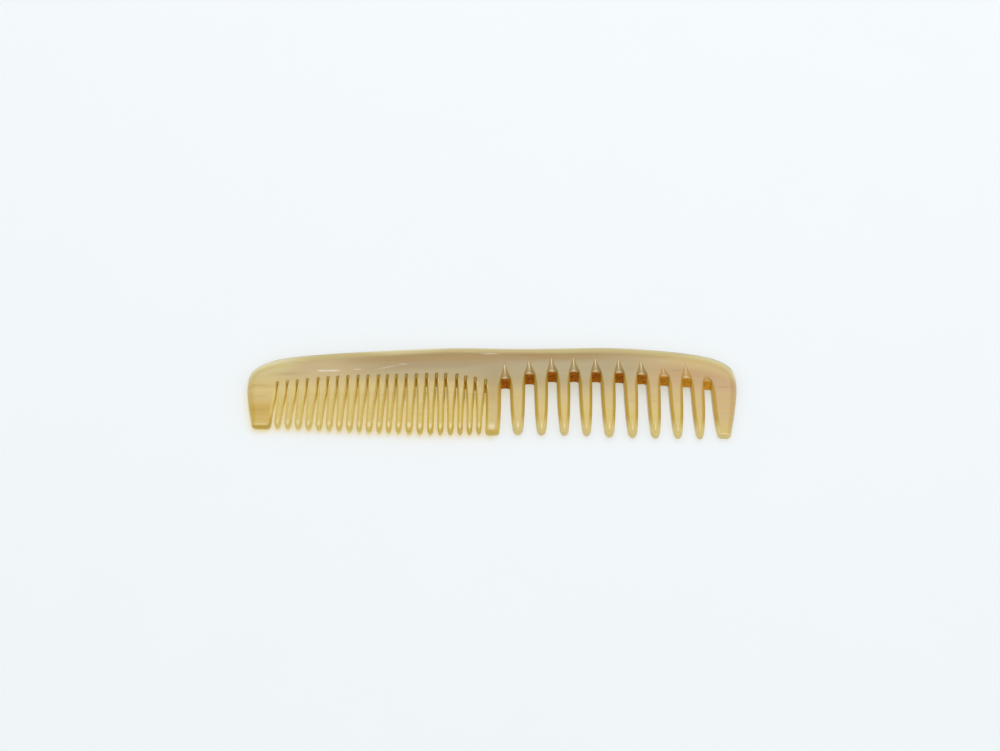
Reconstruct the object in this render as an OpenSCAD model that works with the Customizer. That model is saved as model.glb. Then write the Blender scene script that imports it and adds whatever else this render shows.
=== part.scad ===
// Horn comb: one piece of blond cattle horn, sawn and filed from a single plate.
// It lies flat on its underside. X runs along the comb, +Y points to the back edge,
// the teeth point to -Y, and +Z is up. The origin is under the middle of its box.

/* [Plate] */
// Length from end to end
comb_l = 140; // [120:1:160]
// Width in plan, from the longest fine teeth to the top of the back
comb_w = 28.7; // [26:0.1:32]
// Thickness along the back, at mid-length
back_t = 5.6; // [4.6:0.1:6.4]
// Thickness at the tooth tips, at mid-length
tip_t = 2.9; // [2.4:0.1:3.4]
// Share of the thickness that is lost towards each end
end_thinning = 0.2; // [0:0.05:0.3]
// Width of the rounding along the back edge
back_round = 4; // [3:0.1:4.5]
// Width of the rounding round the tooth tips
tip_round = 1.1; // [0.8:0.1:1.2]

/* [Fine teeth] */
// Distance from saw cut to saw cut
fine_pitch = 2.83; // [2.7:0.01:2.85]
// Width of a cut at its root
fine_root_w = 0.95; // [0.75:0.05:1.05]
// Width of a cut where the tooth tips begin to round
fine_mouth_w = 1.1; // [0.95:0.05:1.3]
// Length of a pointed tooth tip
fine_nose = 2.3; // [1.8:0.1:2.6]
// Width of the bevel along a cut where the tooth tips begin to round
fine_bevel = 0.5; // [0.3:0.05:0.55]

/* [Wide teeth] */
// Distance from gap to gap
wide_pitch = 6.45; // [6.2:0.05:6.5]
// Width of a gap at its root
wide_root_w = 2.6; // [2.2:0.1:2.8]
// Width of a gap where the tooth tips begin to round
wide_mouth_w = 3.7; // [3.2:0.1:3.9]
// Length of a rounded tooth tip
wide_nose = 2.3; // [1.8:0.1:2.8]
// Width of the bevel along each side of a gap
wide_bevel = 0.9; // [0.5:0.05:1]
// Length of the pointed groove that runs on past the root of a gap
arch_l = 4.6; // [3:0.1:4.8]

/* [Hidden] */

// The tables are drawn at this size, and the finished form is resized to comb_l by comb_w
drawn_l = 140;
drawn_w = 28.7;

// Back edge, from the middle of the left end round to the middle of the right end
// Columns: X, Y
BACK_EDGE = [
    [-70, -0.5], [-69.4, 3.8], [-67, 6.35], [-61.4, 8.85], [-50, 10.5], [-32, 12],
    [-12, 13.25], [6, 13.4], [20, 13.85], [34, 14.35], [48, 13.8], [60, 12.4],
    [65.6, 10.7], [68.7, 8.4], [69.85, 4.6], [70, 1],
];

// Outer side of each guard, from the middle of the end down to the rounded corner
// Columns: X, Y
LEFT_SIDE = [[-70, -0.5], [-69.45, -5.3], [-68.75, -8.8], [-68, -12]];
RIGHT_SIDE = [[70, 1], [69.5, -3.7], [69, -7.2], [68, -12.5]];

// Line along which the roots of all gaps lie
// Columns: X, Y
ROOT_LINE = [
    [-61.4, 0.5], [-50, 1.85], [-38, 2.65], [-13.5, 3.5], [-10, 3.35], [-5, 2.45], [-2, 1.75],
    [3.7, 1.8], [10.5, 3.4], [17, 4.3], [30, 4.5], [43, 4.1], [56, 3.3], [62, 2.7],
];

// Line along which the tips of all teeth lie
// Columns: X, Y
TIP_LINE = [
    [-60.8, -13.2], [-48, -13.65], [-34, -14.2], [-20, -14.35], [-8.8, -14.2], [-3.1, -13.85],
    [0.6, -13.9], [7.4, -13.65], [27, -13.5], [34, -13.8], [60, -13.85], [66, -13.7],
];

// How far the mouth of a gap leans to the left of its root
// Columns: X, lean
LEAN_LINE = [[-61, 0.7], [-34, 0.5], [-21, 0], [-8, -0.1], [10, -0.3], [62, -0.55]];

// How far each hand-sawn gap wanders from even spacing, in tenths of a millimetre
FINE_WANDER = [-2, -2, -2, -2, 1, 1, 0, 1, 2, 2, 4, 1, -1, -1, -1, 0, 0, -2, 2, -1, -2, 0];
WIDE_WANDER = [-2, 3, 3, 2, 0, 2, 3, 2, 1, -3];

// Middle of the first gap of each half
fine_first = -61.3;
wide_first = 4.05;

// The middle tooth stands between the two rows of gaps
fine_cuts = len(FINE_WANDER);
gaps = fine_cuts + len(WIDE_WANDER);
teeth = gaps + 1;

// Edges
full_t_y = 5;            // from here to the back edge the plate keeps its thickness
edge_depth = 0.45;       // depth of a rounded edge, as a share of the thickness
fine_root_bevel = 0.15;  // bevel at the root of a saw cut
fine_depth = 0.45;       // depth of the bevels along a saw cut
fine_valley = 0.5;       // depth of the notch past the root of a saw cut
fine_arch = 0.35;        // length of that notch
wide_depth = 0.7;        // depth of the bevels along a wide gap
wide_valley = 1;         // depth of the pointed groove where it meets the root
bevel_round = 0.3;       // 0 is a flat bevel, 1 a fully rounded one
under_share = 0.5;       // size of the bevels on the underside, beside the upper ones
fine_point = 1.15;       // 1 is an elliptical tooth tip, more is more pointed
wide_point = 1;          // the same for a wide tooth
block_nose = 1.2;        // length of the rounded corners of a flat-ended tooth
block_corner = 1;        // width of those corners
inner_corner = 0.3;      // what is left of them where the rounding meets the face

// Fineness
edge_steps = 3;                  // facets in each quarter of an edge
curve_steps = 3;                 // points from one row of the back table to the next
nose_steps = 3;                  // points along each side of a tooth tip
FLANK_STATIONS = [0, 0.4, 0.75, 1];  // places along a flank, from the root to the tip
flare = 3;                       // how late a gap widens towards its mouth

function mix(a, b, s) = a + (b - a) * s;
function is_fine(gap) = gap < fine_cuts;
function is_block(tooth) = tooth == 0 || tooth == fine_cuts || tooth == teeth - 1;

// Thickness of the plate over the point x, y
function thickness(p) =
    let (
        middle = lookup(p[1], [[-drawn_w / 2, tip_t], [full_t_y, back_t]]),
        share = abs(p[0]) / (drawn_l / 2)
    )
    middle * (1 - end_thinning * pow(share, 2));

// Width of the rounded edge of the plate at height y
function edge_width(y) =
    lookup(y, [[-12.5, tip_round], [-6, 1.6], [4, 2.2], [9.5, back_round]]);

// Sizes of one gap
function gap_x(gap) =
    is_fine(gap)
    ? fine_first + fine_pitch * gap + FINE_WANDER[gap] / 10
    : wide_first + wide_pitch * (gap - fine_cuts) + WIDE_WANDER[gap - fine_cuts] / 10;
function mouth_x(gap) = gap_x(gap) - lookup(gap_x(gap), LEAN_LINE);
function root_y(gap) = lookup(gap_x(gap), ROOT_LINE);
function gap_w(gap, s) =
    is_fine(gap)
    ? mix(fine_root_w, fine_mouth_w, pow(s, flare))
    : mix(wide_root_w, wide_mouth_w, pow(s, flare));
function bevel_w(gap, s) = is_fine(gap) ? mix(fine_root_bevel, fine_bevel, s) : wide_bevel;
function bevel_depth(gap) = is_fine(gap) ? fine_depth : wide_depth;

// Sizes of one tooth
function nose(tooth) = is_block(tooth) ? block_nose : is_fine(tooth) ? fine_nose : wide_nose;
function pointedness(tooth) = is_block(tooth) ? 1 : is_fine(tooth) ? fine_point : wide_point;
function tip_y(tooth) =
    let (
        left = tooth == 0 ? -drawn_l / 2 : mouth_x(tooth - 1),
        right = tooth == teeth - 1 ? drawn_l / 2 : mouth_x(tooth)
    )
    lookup((left + right) / 2, TIP_LINE);

// A point of the outline holds these columns:
// place on the outline, place where the edge meets the face, depth of the edge,
// size of its underside beside the upper side, roundness
function edge_point(outer, inward) =
    [outer, outer + inward * edge_width(outer[1]), edge_depth * thickness(outer), 1, 1];

// Direction of a curve at row i of a table, from its neighbours
function heading(rows, i) =
    let (along = rows[min(i + 1, len(rows) - 1)] - rows[max(i - 1, 0)])
    along / norm(along);

// Point at share s of the way from row i to the next, on a smooth curve through the rows
function on_curve(rows, i, s) =
    let (
        a = rows[i],
        b = rows[i + 1],
        from_a = heading(rows, i) * norm(b - a),
        into_b = heading(rows, i + 1) * norm(b - a)
    )
    a * (2 * pow(s, 3) - 3 * pow(s, 2) + 1) + from_a * (pow(s, 3) - 2 * pow(s, 2) + s)
    + b * (3 * pow(s, 2) - 2 * pow(s, 3)) + into_b * (pow(s, 3) - pow(s, 2));

// Back edge from left to right, without its two end points, which belong to the guards
function back_points() =
    let (
        rows = concat([LEFT_SIDE[1]], BACK_EDGE, [RIGHT_SIDE[1]]),
        curve = [
            for (i = [1 : len(rows) - 3]) for (k = [0 : curve_steps - 1])
                on_curve(rows, i, k / curve_steps)
        ],
        whole = concat(curve, [BACK_EDGE[len(BACK_EDGE) - 1]])
    )
    [for (i = [1 : len(whole) - 2])
        let (ahead = heading(whole, i))
        edge_point(whole[i], [ahead[1], -ahead[0]])
    ];

// Point on one flank of a tooth at share s from root to tip. side is 1 on its right, -1 on its left.
function flank_point(tooth, side, station) =
    let (outer_side = tooth == 0 && side < 0 ? LEFT_SIDE : RIGHT_SIDE)
    (tooth == 0 && side < 0) || (tooth == teeth - 1 && side > 0)
    ? let (ahead = heading(outer_side, station))
      edge_point(outer_side[station], side * [ahead[1], -ahead[0]])
    : let (
        gap = side > 0 ? tooth : tooth - 1,
        s = FLANK_STATIONS[station],
        x = mix(gap_x(gap), mouth_x(gap), s) - side * gap_w(gap, s) / 2,
        y = mix(root_y(gap), tip_y(tooth) + nose(tooth), s)
    )
    [[x, y], [x - side * bevel_w(gap, s), y], bevel_depth(gap), under_share, bevel_round];

// Point on the rounded tip, turn degrees on from the end of the flank
function nose_point(tooth, side, turn) =
    let (
        last = len(FLANK_STATIONS) - 1,
        start = flank_point(tooth, side, last),
        other = flank_point(tooth, -side, last),
        middle = (start[0][0] + other[0][0]) / 2,
        inner_middle = (start[1][0] + other[1][0]) / 2,
        draw_in = is_block(tooth) ? block_corner : abs(start[0][0] - middle),
        inner_draw_in = is_block(tooth) ? inner_corner : abs(start[1][0] - inner_middle),
        closing = 1 - pow(cos(turn), pointedness(tooth)),
        reach = 1 - pow(sin(turn), pointedness(tooth)),
        outer = [start[0][0] - side * draw_in * closing, tip_y(tooth) + nose(tooth) * reach],
        inner = [
            start[1][0] - side * inner_draw_in * closing,
            tip_y(tooth) + tip_round + (nose(tooth) - tip_round) * reach
        ]
    )
    [
        outer,
        inner,
        mix(start[2], edge_depth * thickness(outer), sin(turn)),
        mix(start[3], 1, sin(turn)),
        mix(start[4], 1, sin(turn))
    ];

// One side of a tooth from its root to its tip, without the end point
function tooth_side(tooth, side) =
    concat(
        [for (station = [0 : len(FLANK_STATIONS) - 1]) flank_point(tooth, side, station)],
        [for (k = [1 : nose_steps - 1]) nose_point(tooth, side, 90 * k / nose_steps)]
    );

// The end point lies midway between the two sides of the tip
function end_point(tooth) =
    let (right = nose_point(tooth, 1, 90), left = nose_point(tooth, -1, 90))
    [(left[0] + right[0]) / 2, (left[1] + right[1]) / 2, right[2], 1, 1];

// Middle of the root of a gap, with the groove that runs on into the back
function root_point(gap) =
    let (
        place = [gap_x(gap), root_y(gap)],
        arch = is_fine(gap) ? fine_arch : arch_l,
        valley = is_fine(gap) ? fine_valley : wide_valley
    )
    [place, place + [0, arch], valley, under_share, bevel_round / 2];

// The whole outline, clockwise from the left end: the back, then the teeth from right to left
back = back_points();
side_n = len(FLANK_STATIONS) + nose_steps - 1;
block_n = 2 * side_n + 1;
function backwards(list) = [for (i = [len(list) - 1 : -1 : 0]) list[i]];
function outline() =
    concat(back, [for (tooth = [teeth - 1 : -1 : 0]) each concat(
        tooth_side(tooth, 1),
        [end_point(tooth)],
        backwards(tooth_side(tooth, -1)),
        tooth > 0 ? [root_point(tooth - 1)] : []
    )]);

// Where the points of tooth and gap stand in the outline, counted from a root
function first_of(tooth) = len(back) + (teeth - 1 - tooth) * (block_n + 1);
function right_of(tooth, i) = first_of(tooth) + i;
function left_of(tooth, i) = first_of(tooth) + block_n - 1 - i;
function end_of(tooth) = first_of(tooth) + side_n;
function root_of(gap) = first_of(gap + 1) + block_n;

// Place of an outline point at level u of its edge: 0 is on the outline, 1 is on the face
function edge_place(point, u, upper) =
    let (
        share = upper ? 1 : point[3],
        across = mix(u, 1 - cos(90 * u), point[4]),
        rise = mix(u, sin(90 * u), point[4]),
        place = mix(point[0], point[1], across * share),
        below = point[2] * share * (1 - rise)
    )
    [place[0], place[1], upper ? thickness(place) - below : below];

// Triangles between two rows of points that run side by side from left to right
function zip_rows(points, low, high) =
    let (
        low_mid = [for (i = [0 : len(low) - 2]) points[low[i]][0][0] + points[low[i + 1]][0][0]],
        high_mid = [for (i = [0 : len(high) - 2]) points[high[i]][0][0] + points[high[i + 1]][0][0]]
    )
    concat(
        [for (i = [0 : len(low) - 2])
            let (j = len([for (mid = high_mid) if (mid < low_mid[i]) mid]))
            [low[i], high[j], low[i + 1]]
        ],
        [for (j = [0 : len(high) - 2])
            let (i = len([for (mid = low_mid) if (mid <= high_mid[j]) mid]))
            [high[j], high[j + 1], low[i]]
        ]
    );

// Triangles of a face of the comb, clockwise from above: each tooth, then the body behind them
function face_triangles(points) =
    concat(
        [for (tooth = [0 : teeth - 1]) each concat(
            [for (i = [0 : side_n - 2]) each [
                [left_of(tooth, i), right_of(tooth, i), right_of(tooth, i + 1)],
                [left_of(tooth, i), right_of(tooth, i + 1), left_of(tooth, i + 1)],
            ]],
            [[left_of(tooth, side_n - 1), right_of(tooth, side_n - 1), end_of(tooth)]]
        )],
        zip_rows(
            points,
            [for (tooth = [0 : teeth - 1]) each concat(
                [left_of(tooth, 0), right_of(tooth, 0)],
                tooth < gaps ? [root_of(tooth)] : []
            )],
            [for (i = [0 : len(back) - 1]) i]
        )
    );

module comb_form() {
    points = outline();
    n = len(points);
    steps = [for (k = [0 : edge_steps]) k / edge_steps];
    top = (2 * len(steps) - 1) * n;
    face = face_triangles(points);
    polyhedron(
        points = concat(
            [for (u = backwards(steps)) each [for (point = points) edge_place(point, u, false)]],
            [for (u = steps) each [for (point = points) edge_place(point, u, true)]]
        ),
        faces = concat(
            [for (triangle = face) backwards(triangle)],
            [for (level = [0 : 2 * len(steps) - 2]) for (i = [0 : n - 1])
                let (a = level * n + i, b = level * n + (i + 1) % n)
                each [[a, b, a + n], [b, b + n, a + n]]
            ],
            [for (triangle = face) [for (i = triangle) i + top]]
        )
    );
}

module comb() {
    color([0.78, 0.68, 0.42])
    resize([comb_l, comb_w, 0])
    comb_form();
}

comb();
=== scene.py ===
"""Dresses the horn comb: one polished plate of blond horn with fine and wide teeth.

Sizes and tables are in millimetres in the comb's own frame: X along the comb towards the wide
teeth, +Y towards the back edge, +Z up from the surface that the comb lies on.
"""
import logging
import math
from dataclasses import dataclass, field, replace
from enum import Enum
from functools import cached_property

import bmesh
import bpy
from mathutils import Matrix, Vector, noise


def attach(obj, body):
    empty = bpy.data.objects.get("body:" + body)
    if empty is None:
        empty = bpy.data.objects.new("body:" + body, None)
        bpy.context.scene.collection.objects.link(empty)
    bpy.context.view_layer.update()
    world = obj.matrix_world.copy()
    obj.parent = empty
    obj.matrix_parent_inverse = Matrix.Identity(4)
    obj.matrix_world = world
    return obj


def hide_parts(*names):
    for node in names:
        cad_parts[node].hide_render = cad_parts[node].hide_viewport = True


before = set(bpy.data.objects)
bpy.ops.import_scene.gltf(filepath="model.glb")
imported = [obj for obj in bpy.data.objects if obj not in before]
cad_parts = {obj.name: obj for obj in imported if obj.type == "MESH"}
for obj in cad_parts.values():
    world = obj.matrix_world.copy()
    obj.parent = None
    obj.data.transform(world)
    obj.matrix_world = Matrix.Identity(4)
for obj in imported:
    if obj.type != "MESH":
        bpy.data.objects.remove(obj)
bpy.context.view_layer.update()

LOG = logging.getLogger("horn_comb")
MM = 0.001
Table = tuple[tuple[float, ...], ...]
Span = tuple[float, float]
Triple = tuple[float, float, float]
Colour = Triple

# Outline of the back, from the lower corner of the left guard round to that of the right guard
# Columns: X, Y
RIM_ROWS: Table = (
    (-68.0, -12.0), (-68.75, -8.8), (-69.45, -5.3), (-70.0, -0.5), (-69.4, 3.8), (-67.0, 6.35),
    (-61.4, 8.85), (-50.0, 10.5), (-32.0, 12.0), (-12.0, 13.25), (6.0, 13.4), (20.0, 13.85),
    (34.0, 14.35), (48.0, 13.8), (60.0, 12.4), (65.6, 10.7), (68.7, 8.4), (69.85, 4.6),
    (70.0, 1.0), (69.5, -3.7), (69.0, -7.2), (68.0, -12.5),
)

# Places in RIM_ROWS at which the outline turns from an end of the comb to the back edge
SHOULDER_ROWS = (4.55, 15.75)

# Saw cuts of the fine half, which wander a little from even spacing
# Columns: X of the root, Y of the root, how far the mouth leans left
FINE_CUTS: Table = (
    (-61.28, 0.6, 0.7), (-58.46, 0.9, 0.69), (-55.63, 1.2, 0.58), (-52.8, 1.6, 0.44),
    (-49.69, 2.0, 0.6), (-46.86, 2.25, 0.51), (-44.14, 2.45, 0.36), (-41.22, 2.65, 0.43),
    (-38.29, 2.8, 0.39), (-35.47, 2.9, 0.58), (-32.45, 3.0, 0.63), (-29.92, 3.07, 0.41),
    (-27.3, 3.2, 0.32), (-24.48, 3.3, 0.32), (-21.65, 3.45, 0.0), (-18.73, 3.57, -0.12),
    (-15.91, 3.65, -0.16), (-13.28, 3.65, -0.38), (-10.06, 3.5, 0.01), (-7.54, 2.95, -0.08),
    (-4.81, 2.6, -0.1), (-1.79, 1.9, 0.33),
)

# Gaps of the wide half
# Columns: X of the root, Y of the root, how far the mouth leans left, length of the groove,
# width at the root
WIDE_CUTS: Table = (
    (3.84, 2.57, -0.4, 4.7, 2.5), (10.75, 4.12, -0.29, 4.65, 2.6), (17.2, 5.02, -0.4, 4.85, 2.55),
    (23.5, 5.17, -0.46, 4.95, 2.5), (29.78, 5.22, -0.48, 4.85, 2.5),
    (36.4, 5.12, -0.45, 4.85, 2.45), (42.85, 4.82, -0.49, 4.75, 2.6),
    (49.23, 4.47, -0.55, 3.2, 2.45), (55.62, 4.07, -0.49, 5.0, 2.45), (61.62, 3.42, -0.6, 1.7, 2.1),
)

# Line along which the tooth tips lie
# Columns: X, Y
TIP_ROWS: Table = (
    (-60.8, -13.2), (-48.7, -13.65), (-40.0, -13.95), (-34.0, -14.2), (-26.0, -14.2),
    (-20.0, -14.35), (-8.8, -14.2), (-3.1, -13.9), (0.6, -14.05), (7.4, -13.8), (27.0, -13.75),
    (34.0, -14.05), (60.0, -14.05), (64.0, -13.6),
)

# Width of the rounded rim at a given height on the comb
# Columns: Y, width
ROUNDING_ROWS: Table = ((-12.5, 1.1), (-6.0, 1.6), (4.0, 2.2), (9.5, 4.0))

# Rows of the grid along a tooth, from its tip to its root
# Columns: share of the way from the root to where the tip begins to round, turn on round the
# tip in degrees
TOOTH_ROWS: Table = (
    (1.0, 45.0), (1.0, 20.0), (1.0, 0.0), (0.9, 0.0), (0.78, 0.0), (0.65, 0.0), (0.52, 0.0),
    (0.39, 0.0), (0.27, 0.0), (0.16, 0.0), (0.08, 0.0), (0.03, 0.0), (0.0, 0.0),
)

# Rows of the grid from the roots to the back edge
BODY_ROWS = 9

# Places along X that the horn finish goes by: the middle tooth, and the spans over which the dark
# core, the two guards, the wide half and its last gaps come in
MIDDLE_X = 0.6
CORE_LEFT: Span = (-48.0, -24.0)
CORE_RIGHT: Span = (54.0, 24.0)
LEFT_GUARD: Span = (-60.5, -62.5)
RIGHT_GUARD: Span = (57.5, 62.5)
WIDE_HALF: Span = (2.8, 3.4)
LAST_GAPS: Span = (42.5, 49.0)

# Noise in the horn, in cycles a millimetre along X, Y and Z
CLOUD_RATE: Triple = (0.035, 0.09, 0.05)
GRAIN_RATE: Triple = (0.04, 0.5, 0.4)
FIBRE_RATE: Triple = (0.14, 2.2, 1.2)
BAND_RATE: Triple = (0.02, 0.42, 0.1)
MOTTLE_RATE: Triple = (1.6, 0.8, 1.5)

# How far the clouds shift the zones along the comb
ZONE_DRIFT = 8.0

# Masks that are painted on the mesh for the horn finish to read: distance from the back edge in
# millimetres, nearness to a filed edge and to the rounded outline, the sawn wall of a root, the
# groove behind it and the line down its middle, distance from the painted highlight behind a tip
# in units of its reach, and the bevels that catch the light as painted glints (above 0) or lie in
# painted shade (below)
PAINTED = ("back", "edge", "outer", "gullet", "groove", "valley", "tip", "glint")

# Painted where no painted highlight behind a tip is near
NO_HIGHLIGHT = 9.0

# Levels of the rim, from the underside to the upper face
# Columns: share of the way from the rim to the under face, share of the wall between the two
# edges, share of the way from the rim to the upper face
RIM_LEVELS: Table = (
    (1.0, 0.0, 0.0), (0.66, 0.0, 0.0), (0.33, 0.0, 0.0), (0.0, 0.0, 0.0), (0.0, 0.14, 0.0),
    (0.0, 0.5, 0.0), (0.0, 0.86, 0.0), (0.0, 1.0, 0.0), (0.0, 1.0, 0.06), (0.0, 1.0, 0.33),
    (0.0, 1.0, 0.66), (0.0, 1.0, 1.0),
)


def mix(a: float | Vector, b: float | Vector, share: float) -> float | Vector:
    """Value or point at a share of the way from a to b."""
    return a + (b - a) * share


def lookup(value: float, rows: Table) -> float:
    """Reads a two-column table at value, straight between its rows and flat beyond them.

    Args:
        value: What is looked up in the first column, which rises.
        rows: The table.

    Returns:
        The second column at value.
    """
    if value <= rows[0][0]:
        return rows[0][1]
    for low, high in zip(rows, rows[1:]):
        if value <= high[0]:
            return mix(low[1], high[1], (value - low[0]) / (high[0] - low[0]))
    return rows[-1][1]


def ease(value: float) -> float:
    """Smooth step from 0 to 1 as value goes from 0 to 1."""
    share = min(1.0, max(0.0, value))
    return share * share * (3 - 2 * share)


def ramp(value: float, start: float, end: float) -> float:
    """Smooth step from 0 to 1 as value goes from start to end."""
    return ease((value - start) / (end - start))


def add_object(name: str, data: bpy.types.ID) -> bpy.types.Object:
    """Adds an object at the origin that shows the data.

    Args:
        name: Name of the object.
        data: Mesh, lamp or camera.

    Returns:
        The object.
    """
    made = bpy.data.objects.new(name, data)
    bpy.context.scene.collection.objects.link(made)
    return made


def add_mesh(name: str, mesh: bmesh.types.BMesh) -> bpy.types.Object:
    """Turns a bmesh into an object at the origin.

    Args:
        name: Name of the object and its mesh.
        mesh: The bmesh, which is freed.

    Returns:
        The object.
    """
    data = bpy.data.meshes.new(name)
    mesh.to_mesh(data)
    mesh.free()
    return add_object(name, data)


def aim(thing: bpy.types.Object, place: Triple, target: Triple = (0.0, 0.0, 0.0)) -> None:
    """Puts a lamp or the camera at a place and points it at a target."""
    thing.location = place
    thing.rotation_euler = (Vector(target) - Vector(place)).to_track_quat("-Z", "Y").to_euler()


class Side(Enum):
    """Side of a tooth or of a gap, seen from above."""

    LEFT = -1
    RIGHT = 1


class ToothKind(Enum):
    """Kinds of tooth along the comb."""

    LEFT_GUARD = "left guard"
    FINE = "fine"
    MIDDLE = "middle"
    WIDE = "wide"
    RIGHT_GUARD = "right guard"


@dataclass(frozen=True)
class Curve:
    """A smooth curve through the rows of a table, in plan.

    Attributes:
        rows: The table.
        slope_step: How far on either side of a place the slope there is measured.
        halvings: Steps in which a place is searched for.
    """

    rows: Table
    slope_step: float = 0.01
    halvings: int = 40

    def row(self, index: int) -> Vector:
        """Row of the table as a point."""
        return Vector(self.rows[index])

    def heading(self, index: int) -> Vector:
        """Direction of the curve at a row, taken from the rows on either side."""
        last = len(self.rows) - 1
        return (self.row(min(index + 1, last)) - self.row(max(index - 1, 0))).normalized()

    def at(self, place: float) -> Vector:
        """Point of the curve at a place.

        Args:
            place: Row number, with the share of the way to the next row as its fraction.

        Returns:
            The point in plan.
        """
        index = min(int(place), len(self.rows) - 2)
        share = place - index
        a, b = self.row(index), self.row(index + 1)
        reach = (b - a).length
        from_a, into_b = self.heading(index) * reach, self.heading(index + 1) * reach
        return (
            a * (2 * share**3 - 3 * share**2 + 1)
            + from_a * (share**3 - 2 * share**2 + share)
            + b * (3 * share**2 - 2 * share**3)
            + into_b * (share**3 - share**2)
        )

    def inward(self, place: float) -> Vector:
        """Direction into the plate, at right angles to the curve.

        Args:
            place: Place on the curve.

        Returns:
            The direction, of length 1.
        """
        low, high = max(place - self.slope_step, 0), place + self.slope_step
        ahead = self.at(min(high, len(self.rows) - 1)) - self.at(low)
        return Vector((ahead.y, -ahead.x)).normalized()

    def where(self, axis: int, value: float, low: float, high: float) -> float:
        """Place between low and high at which one coordinate reaches value.

        Args:
            axis: 0 for X or 1 for Y; it rises or falls steadily between low and high.
            value: The coordinate to reach.
            low: Place where the search starts.
            high: Place where the search ends.

        Returns:
            The place on the curve.
        """
        rising = self.at(high)[axis] > self.at(low)[axis]
        for _ in range(self.halvings):
            middle = (low + high) / 2
            if (self.at(middle)[axis] < value) == rising:
                low = middle
            else:
                high = middle
        return (low + high) / 2


@dataclass(frozen=True)
class Plate:
    """The plate of horn that the comb is filed from, in millimetres.

    Below fold_y it thins towards the tips, with a soft fold fold_blend wide, and it thins by the
    share end_thinning towards both ends. The rim drops by the share rim_drop of the thickness.
    The ripple is ripple high, ripple_rate says how many waves a millimetre it has along and
    across the comb, and ripple_seed and ripple_middle pick its part of the noise.
    """

    half_length: float = 70.0
    half_width: float = 14.35
    back_thickness: float = 5.58
    tip_thickness: float = 2.9
    fold_y: float = 5.0
    fold_blend: float = 1.6
    end_thinning: float = 0.2
    rim_drop: float = 0.45
    ripple: float = 0.05
    ripple_seed: float = 3.7
    ripple_rate: Span = (0.055, 0.16)
    ripple_middle: float = 0.4

    def thickness(self, point: Vector) -> float:
        """Thickness over a point of the plan, with a soft fold below the back.

        Args:
            point: The point in plan.

        Returns:
            The thickness in millimetres.
        """
        below = self.fold_y - point.y
        slope = (self.back_thickness - self.tip_thickness) / (self.fold_y + self.half_width)
        fall = slope * 0.5 * (below + math.hypot(below, self.fold_blend))
        return (self.back_thickness - fall) * (
            1 - self.end_thinning * (point.x / self.half_length) ** 2
        )

    def top(self, point: Vector) -> float:
        """Height of the upper face, with the faint ripple that hand scraping leaves.

        Args:
            point: The point in plan.

        Returns:
            The height in millimetres.
        """
        along, across = self.ripple_rate
        wave = noise.noise(Vector((point.x * along, point.y * across, self.ripple_seed)))
        return self.thickness(point) + self.ripple * (wave - self.ripple_middle)

    def rounding(self, point: Vector) -> float:
        """Width of the rounded rim at a point of the outline."""
        return lookup(point.y, ROUNDING_ROWS)


@dataclass(frozen=True)
class Station:
    """One point of the rim, with the edge that leads from it up to the face.

    Attributes:
        rim: The point in plan.
        face: Where the edge meets the upper face, in plan.
        drop: How far the edge falls from the face to the rim.
        under: Size of the edge below, as a share of the one above.
        roundness: 0 for a flat bevel, 1 for a quarter round.
        gullet: 1 on the sawn wall of a root.
        groove: Strength of the groove behind the root.
        glint: Above 0 where the bevel catches the light, below 0 where it lies in shade.
        lean: How far the foot of the wall lies nearer the tips than its top.
        filed: 1 on the filed sides of the teeth, 0 on the rounded outline.
    """

    rim: Vector
    face: Vector
    drop: float
    under: float = 0.5
    roundness: float = 0.35
    gullet: float = 0.0
    groove: float = 0.0
    glint: float = 0.0
    lean: float = 0.0
    filed: float = 1.0

    def place(self, level: int, plate: Plate) -> Vector:
        """Point of the rim at a level of RIM_LEVELS.

        Args:
            level: Row of RIM_LEVELS.
            plate: The plate that the rim belongs to.

        Returns:
            The point in millimetres.
        """
        to_under, wall, to_upper = RIM_LEVELS[level]
        inset = to_under + to_upper
        quarter = math.radians(90 * inset)
        across = mix(inset, 1 - math.cos(quarter), self.roundness)
        rise = mix(inset, math.sin(quarter), self.roundness)
        share = self.under if to_under else 1.0
        plan = mix(self.rim, self.face, across * share)
        low = self.drop * self.under * (1 - (rise if to_under else 0))
        high = plate.top(plan) - self.drop * (1 - (rise if to_upper else 0))
        plan = plan + Vector((0, self.lean * (wall - 1)))
        return Vector((plan.x, plan.y, mix(low, high, wall)))

    def face_at(self, upper: bool) -> Vector:
        """Where the edge meets the upper face or the underside, in plan."""
        return self.face if upper else mix(self.rim, self.face, self.under)

    def masks(self, level: int) -> dict[str, float]:
        """What is painted on the rim at a level of RIM_LEVELS.

        Args:
            level: Row of RIM_LEVELS.

        Returns:
            Masks by their names in PAINTED.
        """
        to_under, _, to_upper = RIM_LEVELS[level]
        side = 1 - to_under - to_upper
        bevelled = to_upper if self.glint > 0 else 1 - to_upper
        return {
            "edge": side * self.filed,
            "outer": side * (1 - self.filed),
            "gullet": 0.0 if to_under or to_upper else self.gullet,
            "groove": self.groove * (1 - to_upper) if to_upper else 0.0,
            "glint": self.glint * bevelled,
        }


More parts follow.
